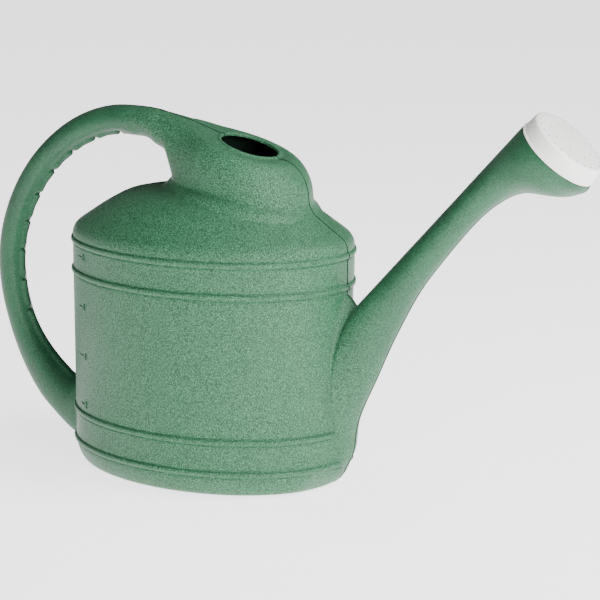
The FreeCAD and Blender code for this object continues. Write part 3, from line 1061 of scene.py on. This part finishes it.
@dataclass
class CanBody:
    """The whole green moulding: one skin with a wall, its beads and its finger grips."""

    tank: Tank
    hood: FillerHood
    handle: Handle
    spout: Spout
    wall: float = 1.8
    dome_shares: Tuple[float, ...] = (0.4, 0.75)
    # The flare at the hood's foot, ring by ring: distance out from its outline and lift above
    # the dome, in front, on the sides and under the neck.
    flare: Tuple[Tuple[Pair, Pair, Pair], ...] = (
        ((11.5, 0.0), (11.0, 0.0), (14.5, 0.0)),
        ((8.5, 0.1), (9.2, 0.2), (11.5, 0.3)),
        ((4.6, 1.1), (7.1, 4.0), (7.2, 2.6)),
        ((1.7, 4.0), (2.9, 5.3), (2.6, 7.0)),
    )
    flare_start: float = 13.0
    flat_shares: Tuple[float, ...] = (0.4, 0.78)
    # The flat top ends this far outside the mouth, where the mouth's lip starts.
    flat_gap: float = 4.1
    # The lip, ring by ring: distance outside the mouth and height above its plane.
    lip: Tuple[Pair, ...] = ((3.9, 0.0), (2.9, 0.7), (1.6, 1.15), (0.5, 0.8), (0.0, -0.4),
                             (0.0, -1.6))
    # The share of the grain on the foot, the spout's root and fillet, and the tubes' ends.
    foot_grain: float = 0.8
    root_grain: float = 0.9
    fillet_grain: float = 0.7
    grip_grain: float = 0.3
    tube_grain: float = 0.35
    rim_grain: float = 0.2
    # Where the wall is cut for each bead, in half beads from the bead's middle.
    bead_cuts: Tuple[float, ...] = (-1.6, -1.3, -1.0, -0.92, -0.75, -0.45, 0.0,
                                    0.45, 0.75, 0.92, 1.0, 1.3, 1.6)
    nodes: Tuple[str, ...] = ("tank_base", "tank_wall", "tank_shoulder", "filler_hood",
                              "filler_rim", "handle_upper", "handle_lower", "handle_foot",
                              "spout_root", "spout_lower", "spout_upper", "spout_head",
                              "spout_seat")

    def grow_tank(self, cage: Cage) -> None:
        """Grows the tank's skin from the floor's disc up to the foot of the hood."""
        tank = self.tank
        cage.place(lambda k: tank.oval(tank.disc_reach, k, 0.0), 1.0)
        for reach, height in tank.rings():
            cage.grow(lambda k: tank.oval(reach, k, height))
        for share in self.dome_shares:
            cage.grow(lambda k: self.dome_point(k, share))

    def dome_point(self, column: int, share: float) -> Vector:
        """Point of the dome, part of the way from the tank's last ring to the hood."""
        outer = self.tank.oval(self.tank.slope_reach, column, 0.0)
        inner = self.hood.base_point(column, self.flare_start, 0.0)
        x, y = mix(outer.x, inner.x, share), mix(outer.y, inner.y, share)
        return Vector((x, y, self.tank.dome_height(x, y)))

    def grow_hood(self, cage: Cage) -> None:
        """Grows the hood: the flare at its foot, its sides, its flat top and the mouth."""
        hood = self.hood
        for row in self.flare:
            cage.grow(lambda k: self.flare_point(k, *row))
        for rib in range(len(hood.rib_shares)):
            cage.grow(lambda k: hood.rib_point(k, rib))
        for share in self.flat_shares:
            cage.grow(lambda k: hood.flat_point(k, share, hood.mouth_radius + self.flat_gap))
        for wider, proud in self.lip:
            cage.grow(lambda k: hood.mouth_point(k, hood.mouth_radius + wider, proud))

    def flare_point(self, column: int, plain: Pair, side_lip: Pair, behind: Pair) -> Vector:
        """Point of the flare at the hood's foot, from three (distance out, lift) pairs.

        Args:
            column: the column of the cage.
            plain: the pair in front, where the hood runs smoothly into the dome.
            side_lip: the pair on the sides, where the flare ends in a rounded lip.
            behind: the pair under the handle's neck.

        Returns:
            The point, in millimetres.
        """
        turn = self.hood.fold(column)[0]
        side = ease(turn, 12, 45) * (1 - ease(turn, 95, 135))
        back = ease(turn, 100, 165)
        out, lift = (mix(mix(a, b, side), c, back)
                     for a, b, c in zip(plain, side_lip, behind))
        return self.hood.base_point(column, out, lift)

    def grow_handle(self, cage: Cage) -> None:
        """Grows the handle out of the neck and joins its foot to the tank."""
        hood, handle, tank = self.hood, self.handle, self.tank

        def is_neck(spot: Vector) -> bool:
            """Whether a face lies in the neck's end."""
            behind = spot.x < hood.neck_x + 1.5
            return behind and spot.z > hood.neck_middle - 18.0 and abs(spot.y) < 19.0

        def is_foot(spot: Vector) -> bool:
            """Whether a face lies where the foot meets the tank."""
            narrow = abs(spot.y) < tank.half_width * math.sin(2 * math.pi / tank.columns)
            return spot.x < -tank.half_length * 0.9 and narrow and 6.0 < spot.z < 57.0

        cage.cut_hole(Hole.NECK, is_neck)
        cage.cut_hole(Hole.FOOT, is_foot)
        cage.start_at(Hole.FOOT)
        cage.place(handle.foot_point, self.foot_grain)
        cage.start_at(Hole.NECK)
        turn = 360.0 / handle.strands
        for ring, run in zip(handle.rings(), handle.lengths()):
            grain = mix(1.0, self.grip_grain, ease(run, 0, 45))
            cage.grow(lambda k: ring.point(turn * k), grain, 1.0 + run)
        cage.mark_hole(Hole.NECK)
        cage.select_hole(Hole.NECK, Hole.FOOT)
        bpy.ops.mesh.bridge_edge_loops()

    def grow_spout(self, cage: Cage) -> None:
        """Grows the spout out of the tank's front, up to the seat of the rose."""
        tank, spout = self.tank, self.spout
        edge = tank.half_width * math.sin(2 * 2 * math.pi / tank.columns)

        def is_root(spot: Vector) -> bool:
            """Whether a face lies where the spout leaves the tank."""
            return spot.x > tank.half_length * 0.8 and abs(spot.y) < edge and 6.0 < spot.z < 172.0

        cage.cut_hole(Hole.SPOUT, is_root)
        cage.start_at(Hole.SPOUT)
        cage.place(spout.root_point, self.root_grain)
        for share in spout.fillet_shares:
            cage.grow(lambda k: spout.fillet_point(k, share), self.fillet_grain)
        for place in spout.places:
            grain = mix(self.root_grain, self.tube_grain, ease(place, 0, 0.25))
            cage.grow(lambda k: spout.section_point(place, k), grain)
        turn = 360.0 / spout.strands
        for ring in spout.seat_rings():
            cage.grow(lambda k: ring.point(turn * k), self.rim_grain)

    def press_beads(self, body: bpy.types.Object) -> None:
        """Raises the stiffening beads round the wall, dying away into the spout and the foot."""
        tank = self.tank
        for height in tank.bead_heights:
            mesh = edit(body, "FACE")
            for face in mesh.faces:
                spot = face.calc_center_median() / MM
                if abs(spot.z - height) < tank.bead_half + 7.0:
                    off = tank.reach(spot.x, spot.y) - tank.half_length
                    outer = Vector((spot.x, spot.y, 0)).dot(face.normal) > 0
                    if outer and -1.2 < off < 4.0:
                        face.select_set(True)
            bmesh.update_edit_mesh(body.data)
            bpy.ops.mesh.hide(unselected=True)
            for cut in self.bead_cuts:
                slice_mesh((0, 0, (height + cut * tank.bead_half) * MM), (0, 0, 1))
            mesh = bmesh.from_edit_mesh(body.data)
            for vert in mesh.verts:
                if not vert.hide:
                    self.raise_bead(vert)
            bmesh.update_edit_mesh(body.data)
            bpy.ops.mesh.reveal(select=False)
            bpy.ops.object.mode_set(mode="OBJECT")

    def raise_bead(self, vert: bmesh.types.BMVert) -> None:
        """Moves a point of the wall out, as far as it lies on a bead."""
        tank = self.tank
        spot = vert.co / MM
        off = tank.reach(spot.x, spot.y) - tank.half_length
        proud = tank.bead_rise(spot.z) * (1.0 - ease(off, 0.9, 2.4)) * (1.0 - ease(-off, 1.6, 3.2))
        vert.co += tank.wall_normal(spot) * (proud * MM)

    def cut_notches(self, body: bpy.types.Object) -> None:
        """Cuts the grip's inside across at each notch, with the body in edit mode."""
        handle = self.handle
        rings, lengths = handle.rings(), handle.lengths()
        for place in handle.notches():
            k = max(i for i, length in enumerate(lengths) if length <= place)
            a, b = rings[k], rings[k + 1]
            share = (place - lengths[k]) / (lengths[k + 1] - lengths[k])
            way = Vector((b.centre[0] - a.centre[0], 0, b.centre[1] - a.centre[1])).normalized()
            centre = Vector((mix(a.centre[0], b.centre[0], share), 0,
                             mix(a.centre[1], b.centre[1], share)))
            mesh = bmesh.from_edit_mesh(body.data)
            floats = mesh.verts.layers.float
            run, side = floats["grip_run"], floats["grip_side"]
            bpy.ops.mesh.select_all(action="DESELECT")
            for face in mesh.faces:
                if all(abs(v[run] - 1 - place) < handle.notch_span and v[side] > 0.1
                       for v in face.verts):
                    face.select_set(True)
            bmesh.update_edit_mesh(body.data)
            bpy.ops.mesh.hide(unselected=True)
            for shift in handle.notch_cuts:
                slice_mesh(mm(centre + way * shift), way)
            bpy.ops.mesh.reveal(select=False)

    def shape_grip(self, body: bpy.types.Object) -> None:
        """Shapes the grip's inside: a ridge whose edge swells between short hooked notches."""
        handle = self.handle
        edit(body, "FACE")
        self.cut_notches(body)
        lengths, places = handle.lengths(), handle.notches()
        start, full, last = lengths[3], lengths[4] + 12, lengths[-1]
        mesh = bmesh.from_edit_mesh(body.data)
        floats = mesh.verts.layers.float
        for vert in mesh.verts:
            run, side = vert[floats["grip_run"]], vert[floats["grip_side"]]
            if run <= 0.0 or side < 0.3:
                continue
            along = run - 1
            inside = ease(side, 0.88, 0.96)
            reach = ease(along, start, full) * (1 - ease(along, last - 34, last - 8))
            beside = ease(side, 0.35, 0.87) * (1 - ease(side, 0.89, 0.97))
            nearest, before = min((abs(along - place), along < place) for place in places)
            width = handle.notch_before if before else handle.notch_after
            swell = math.cos(min(nearest / (handle.notch_pitch / 2), 1.0) * math.pi / 2 * 0.5)
            ends = ease(along, places[0] - 14, places[0] - 4)
            ends *= 1 - ease(along, places[-1] + 4, places[-1] + 14)
            cut = 1 - min(1.0, nearest / width) * mix(1.0, swell, 0.6)
            push = handle.ridge_height * beside * reach + handle.notch_depth * cut * inside * ends
            vert.co -= vert.normal * (push * MM)
        finish_edit(body)

    def flatten_floor(self, body: bpy.types.Object) -> None:
        """Puts the underside flat on the ground."""
        mesh = edit(body)
        for vert in mesh.verts:
            if vert.co.z < 0.12 * MM:
                vert.co.z = 0.0
        finish_edit(body)

    def build(self, outer: bpy.types.Material,
              inner: bpy.types.Material) -> Tuple[bpy.types.Object, bpy.types.Object]:
        """Builds the moulding.

        Args:
            outer: the finish of the outer skin.
            inner: the finish of the unlit inside.

        Returns:
            The body with its wall, and a copy of its bare outer skin for the parting line.
        """
        cage = Cage("can_body", self.tank.columns, self.tank.disc_reach)
        self.grow_tank(cage)
        self.grow_hood(cage)
        self.grow_handle(cage)
        self.grow_spout(cage)
        cage.settle(4, 0.14)
        body = cage.thing
        bpy.ops.object.mode_set(mode="OBJECT")
        outward(body)
        apply_modifier(body, "SUBSURF", levels=2, render_levels=2)
        self.flatten_floor(body)
        self.shape_grip(body)
        make_active(body)
        bpy.ops.object.duplicate()
        skin = bpy.context.object
        skin.name = "outer_skin"
        body.data.materials.append(outer)
        body.data.materials.append(inner)
        apply_modifier(body, "SOLIDIFY", thickness=self.wall * MM, offset=-1.0,
                       use_even_offset=False, use_rim=True, material_offset=1)
        self.press_beads(body)
        smooth(body, 40.0)
        return body, skin

    def dress(self, body: bpy.types.Object) -> None:
        """Gives the body its part in the frame."""
        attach(body, "can")
        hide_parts(*self.nodes)


@dataclass
class PartingLine:
    """The thin line of trimmed flash all round the moulding, in the plane Y = 0."""

    tank: Tank
    radius: float = 0.5
    # The line stops this far above the ground.
    low: float = 1.2
    # Where the line is cut for each bead, in half beads from the bead's middle.
    bead_cuts: Tuple[float, ...] = (-1.6, -1.3, -1.0, -0.75, -0.45, 0.0, 0.45, 0.75, 1.0, 1.3, 1.6)

    def build(self, skin: bpy.types.Object) -> bpy.types.Object:
        """Makes the line from the outer skin's section at Y = 0."""
        edit(skin, "VERT")
        select_all()
        bpy.ops.mesh.bisect(plane_co=(0, 0, 0), plane_no=ACROSS, clear_inner=True,
                            clear_outer=False)
        mesh = bmesh.from_edit_mesh(skin.data)
        bpy.ops.mesh.select_all(action="DESELECT")
        for vert in mesh.verts:
            vert.select_set(abs(vert.co.y) > HAIR or vert.co.z < self.low * MM)
        mesh.select_flush(False)
        bmesh.update_edit_mesh(skin.data)
        bpy.ops.mesh.delete(type="VERT")
        select_all()
        bpy.ops.mesh.delete(type="ONLY_FACE")
        for height in self.tank.bead_heights:
            for cut in self.bead_cuts:
                slice_mesh((0, 0, (height + cut * self.tank.bead_half) * MM), (0, 0, 1))
        for vert in bmesh.from_edit_mesh(skin.data).verts:
            self.follow_beads(vert)
        finish_edit(skin)
        make_active(skin)
        bpy.ops.object.convert(target="CURVE")
        curve = bpy.context.object.data
        curve.bevel_depth = self.radius * MM
        curve.bevel_resolution = 1
        curve.use_fill_caps = True
        bpy.ops.object.convert(target="MESH")
        line = bpy.context.object
        line.name = "parting_line"
        line.data.name = "parting_line"
        smooth(line, 60.0)
        return line

    def follow_beads(self, vert: bmesh.types.BMVert) -> None:
        """Moves a point of the line out over a bead of the wall."""
        x, z = vert.co.x / MM, vert.co.z / MM
        tank = self.tank
        if abs(abs(x) - tank.half_length) > 1.2:
            return
        vert.co.x += math.copysign(tank.bead_rise(z) * MM, x)

    def dress(self, line: bpy.types.Object, finish: bpy.types.Material) -> None:
        """Gives the line its material and its place in the frame."""
        line.data.materials.clear()
        line.data.materials.append(finish)
        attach(line, "can")


@dataclass
class LevelMarks:
    """Raised level marks on the wall: a short bar and a plain numeral at each."""

    tank: Tank
    heights: Tuple[float, ...] = (62.5, 108.9, 155.3, 201.7)
    numerals: Tuple[str, ...] = ("2", "4", "6", "8")
    # The turn round the tank, in degrees from its front, where the numerals start.
    place: float = -135.0
    bar_middle: float = -5.6
    bar_length: float = 7.0
    bar_height: float = 1.3
    bar_round: float = 0.3
    proud: float = 0.7
    numeral_size: float = 8.6
    numeral_round: float = 0.16

    def bend_on(self, thing: bpy.types.Object, height: float) -> None:
        """Wraps a flat mark, drawn in X and Y with Z proud, on to the tank's wall."""
        tank = self.tank
        start = math.radians(self.place)
        ratio = tank.half_width / tank.half_length
        speed = tank.half_length * math.hypot(math.sin(start), ratio * math.cos(start))
        for vert in thing.data.vertices:
            across, up, proud = vert.co / MM
            t = start + across / speed
            spot = Vector((tank.half_length * math.cos(t), tank.half_width * math.sin(t), 0))
            spot += tank.wall_normal(spot) * proud
            vert.co = mm(Vector((spot.x, spot.y, height + up)))

    def bar(self) -> bpy.types.Object:
        """One raised bar with rounded edges."""
        bar = added("bar", bpy.ops.mesh.primitive_cube_add, size=1.0,
                    location=(self.bar_middle * MM, 0, 0))
        bar.scale = (self.bar_length * MM, self.bar_height * MM, 2 * self.proud * MM)
        bake_place(bar)
        edit(bar)
        select_all()
        bpy.ops.mesh.subdivide(number_cuts=3)
        bpy.ops.object.mode_set(mode="OBJECT")
        apply_modifier(bar, "BEVEL", width=self.bar_round * MM, segments=2,
                       limit_method="ANGLE")
        return bar

    def numeral(self, text: str) -> bpy.types.Object:
        """One raised numeral."""
        letters = added("numeral", bpy.ops.object.text_add, location=(0, 0, 0)).data
        letters.body = text
        letters.size = self.numeral_size * MM
        letters.extrude = self.proud * MM
        letters.bevel_depth = self.numeral_round * MM
        letters.resolution_u = 3
        letters.align_x = "LEFT"
        letters.align_y = "CENTER"
        bpy.ops.object.convert(target="MESH")
        bake_place(bpy.context.object)
        return bpy.context.object

    def build(self) -> bpy.types.Object:
        """Builds all the marks as one piece."""
        pieces = []
        for height, text in zip(self.heights, self.numerals):
            for piece in (self.bar(), self.numeral(text)):
                self.bend_on(piece, height)
                pieces.append(piece)
        marks = join(pieces, "level_marks_raised")
        outward(marks)
        smooth(marks, 35.0)
        return marks

    def dress(self, marks: bpy.types.Object, finish: bpy.types.Material) -> None:
        """Gives the marks their material and their place in the frame."""
        marks.data.materials.clear()
        marks.data.materials.append(finish)
        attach(marks, "can")
        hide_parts("level_marks")


@dataclass
class Rose:
    """The white rose: a pierced cap with a bead round its open end."""

    axis: Vector
    seat: Vector
    low: float = 0.35
    base_radius: float = 36.75
    face_radius: float = 35.8
    bead: float = 1.0
    bead_height: float = 1.9
    inner_radius: float = 34.0
    height: float = 16.0
    edge_round: float = 3.0
    crown: float = 1.35
    crown_steps: int = 8
    wall: float = 1.8
    hole_radius: float = 0.8
    hole_sides: int = 20
    drill_length: float = 12.0
    # Radius and number of each ring of holes.
    hole_rings: Tuple[Tuple[float, int], ...] = ((31.3, 24), (20.5, 8))
    steps: int = 96

    def face(self, height: float) -> List[Pair]:
        """The crowned face's half outline at a height, from the axis outwards."""
        edge = self.face_radius - self.edge_round
        radii = [edge * i / self.crown_steps for i in range(self.crown_steps + 1)]
        return [(r, height + self.crown * (1 - (r / edge) ** 2)) for r in radii]

    def outline(self) -> List[Pair]:
        """Half outline, radius and height, from the axis over the face and back inside."""
        top, low, inner = self.low + self.height, self.low, self.inner_radius
        under = top - self.wall
        points = self.face(top)
        points += arc((self.face_radius - self.edge_round, top - self.edge_round),
                      (self.edge_round, self.edge_round), (68, 45, 22, 0))
        points.append((mix(self.base_radius, self.face_radius, 0.5), mix(low, top, 0.45)))
        points.append((self.base_radius - 0.15, low + self.bead_height + 0.35))
        points += arc((self.base_radius, low + self.bead_height / 2),
                      (self.bead, self.bead_height / 2), (75, 45, 15, -15, -45, -75))
        points += [(inner + 0.3, low), (inner, low + 0.3), (inner, under - 1.6),
                   (inner - 0.5, under - 0.5), (inner - 1.6, under)]
        return points + self.face(under)[-2::-1]

    def lathe(self) -> bpy.types.Object:
        """Spins the outline round Z into the cap."""
        cap = added("rose_pierced_cap", bpy.ops.mesh.primitive_circle_add, vertices=3, radius=MM,
                    location=(0, 0, 0))
        mesh = edit(cap)
        points = self.outline()
        for vert in list(mesh.verts)[1:]:
            mesh.verts.remove(vert)
        mesh.verts.ensure_lookup_table()
        mesh.verts[0].co = Vector((points[0][0], 0, points[0][1])) * MM
        mesh.verts[0].select_set(True)
        bmesh.update_edit_mesh(cap.data)
        for (r0, z0), (r1, z1) in zip(points, points[1:]):
            bpy.ops.mesh.extrude_region_move(
                TRANSFORM_OT_translate={"value": ((r1 - r0) * MM, 0, (z1 - z0) * MM)})
        select_all()
        bpy.ops.mesh.spin(steps=self.steps, angle=2 * math.pi, center=(0, 0, 0), axis=UP)
        bpy.ops.object.mode_set(mode="OBJECT")
        outward(cap)
        return cap

    def drill(self) -> bpy.types.Object:
        """All the holes' cylinders as one mesh."""
        drills = []
        for radius, count in self.hole_rings:
            for i in range(count):
                a = 2 * math.pi * (i + 0.5) / count
                drills.append(added(
                    "drill", bpy.ops.mesh.primitive_cylinder_add, vertices=self.hole_sides,
                    radius=self.hole_radius * MM, depth=self.drill_length * MM,
                    location=(radius * math.cos(a) * MM, radius * math.sin(a) * MM,
                              (self.low + self.height) * MM)))
                bake_place(drills[-1])
        return join(drills, "rose_drills")

    def build(self, outer: bpy.types.Material, bore: bpy.types.Material) -> bpy.types.Object:
        """Builds the rose in its place on the spout, with painted shade on the walls of its holes.
        """
        cap = self.lathe()
        drills = self.drill()
        cap.data.materials.append(outer)
        drills.data.materials.append(bore)
        apply_modifier(cap, "BOOLEAN", operation="DIFFERENCE", object=drills, solver="EXACT",
                       material_mode="TRANSFER")
        bpy.data.objects.remove(drills)
        turn = UP.rotation_difference(self.axis).to_matrix().to_4x4()
        make_active(cap)
        cap.matrix_world = Matrix.Translation(mm(self.seat)) @ turn
        bake_place(cap)
        smooth(cap, 32.0)
        return cap

    def dress(self, cap: bpy.types.Object) -> None:
        """Gives the rose its place in the frame."""
        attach(cap, "rose_cap")
        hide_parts("rose")


@dataclass
class Studio:
    """A pale floor, soft light and the camera."""

    floor_size: float = 12.0
    world_strength: float = 0.12
    # Each light's name, place in metres, side in metres and power in watts.
    lights: Tuple[Tuple[str, Tuple[float, float, float], float, float], ...] = (
        ("key_right_front", (2.05, -1.3, 0.62), 0.8, 64.0),
        ("top_soft", (1.3, 0.2, 1.7), 0.9, 46.0),
        ("front_high", (0.1, -1.7, 1.7), 0.5, 7.0),
    )
    light_target: Tuple[float, float, float] = (0.03, 0.0, 0.17)
    # The camera's place and target, in millimetres, and its lens.
    camera_place: Tuple[float, float, float] = (884.35, -1630.66, 596.11)
    camera_target: Tuple[float, float, float] = (51.4, 0.0, 162.7)
    sensor: float = 36.0
    focal: float = 123.92
    shift: Pair = (0.0637, 0.0017)
    clip_end: float = 30.0

    def floor(self) -> None:
        """A wide flat floor."""
        floor = added("floor", bpy.ops.mesh.primitive_plane_add, size=self.floor_size,
                      location=(0, 0, 0))
        floor.data.materials.append(PaperFloor().make())

    def light(self, name: str, place: Sequence[float], side: float, watts: float) -> None:
        """One soft square light, aimed at the can."""
        light = added(name, bpy.ops.object.light_add, type="AREA", location=place)
        light.data.shape = "RECTANGLE"
        light.data.size, light.data.size_y = side, side
        light.data.energy = watts
        aim = Vector(self.light_target) - Vector(place)
        light.rotation_euler = aim.to_track_quat("-Z", "Y").to_euler()

    def world(self) -> None:
        """Plain light from all round."""
        world = bpy.data.worlds.new("soft_white")
        bpy.context.scene.world = world
        world.use_nodes = True
        back = world.node_tree.nodes["Background"]
        back.inputs["Color"].default_value = (1.0, 1.0, 1.0, 1.0)
        back.inputs["Strength"].default_value = self.world_strength

    def camera(self) -> None:
        """The camera, at the object's usual three-quarter view."""
        place = mm(self.camera_place)
        aim = mm(self.camera_target) - place
        camera = added("camera", bpy.ops.object.camera_add, location=place,
                       rotation=aim.to_track_quat("-Z", "Y").to_euler())
        camera.data.sensor_width = self.sensor
        camera.data.lens = self.focal
        camera.data.shift_x, camera.data.shift_y = self.shift
        camera.data.clip_end = self.clip_end
        bpy.context.scene.camera = camera

    def build(self) -> None:
        """Sets up the floor, the lights and the camera."""
        self.floor()
        self.world()
        for name, place, side, watts in self.lights:
            self.light(name, place, side, watts)
        self.camera()


# How far the centre of the rose's seat lies inside the highest, furthest corner of the box of
# the node spout_seat, along X and Z.
SEAT_INSET: Pair = (31.0, 28.0)


def main() -> None:
    """Builds the can piece by piece and reports each."""
    logging.basicConfig(level=logging.INFO, format="%(message)s")
    wall_top, shoulder_top = box_mm("tank_wall")[1], box_mm("tank_shoulder")[1]
    seat_top = box_mm("spout_seat")[1]
    # The beads stand on the wall and have to stay within its box.
    tank = Tank(half_length=shoulder_top.x,
                half_width=wall_top.y - Tank.bead_proud - Tank.bead_room,
                wall_top=wall_top.z)
    mouth = next(m for m in frame["record"]["mounts"] if m["name"] == "filler_mouth")
    axis = Vector(frame["joints"][0]["axis"]).normalized()
    seat = Vector((seat_top.x - SEAT_INSET[0], 0.0, seat_top.z - SEAT_INSET[1]))
    hood = FillerHood(tank, Vector(mouth["pos_m"]) / MM, Vector(mouth["axis"]).normalized())
    green = BlowMouldedHdpe().make()
    can = CanBody(tank, hood, Handle(tank), Spout(tank, axis, seat))
    body, skin = can.build(green, UNLIT_INSIDE_SHADE.make())
    can.dress(body)
    parting = PartingLine(tank)
    line = parting.build(skin)
    parting.dress(line, PARTING_LINE_SHADE.make())
    level_marks = LevelMarks(tank)
    marks = level_marks.build()
    level_marks.dress(marks, green)
    rose = Rose(axis, seat)
    cap = rose.build(InjectionMouldedPp().make(), ShadedBore().make())
    rose.dress(cap)
    for piece in (body, line, marks, cap):
        LOG.info("%s: %d faces", piece.name, len(piece.data.polygons))
    Studio().build()


if __name__ == "__main__":
    main()
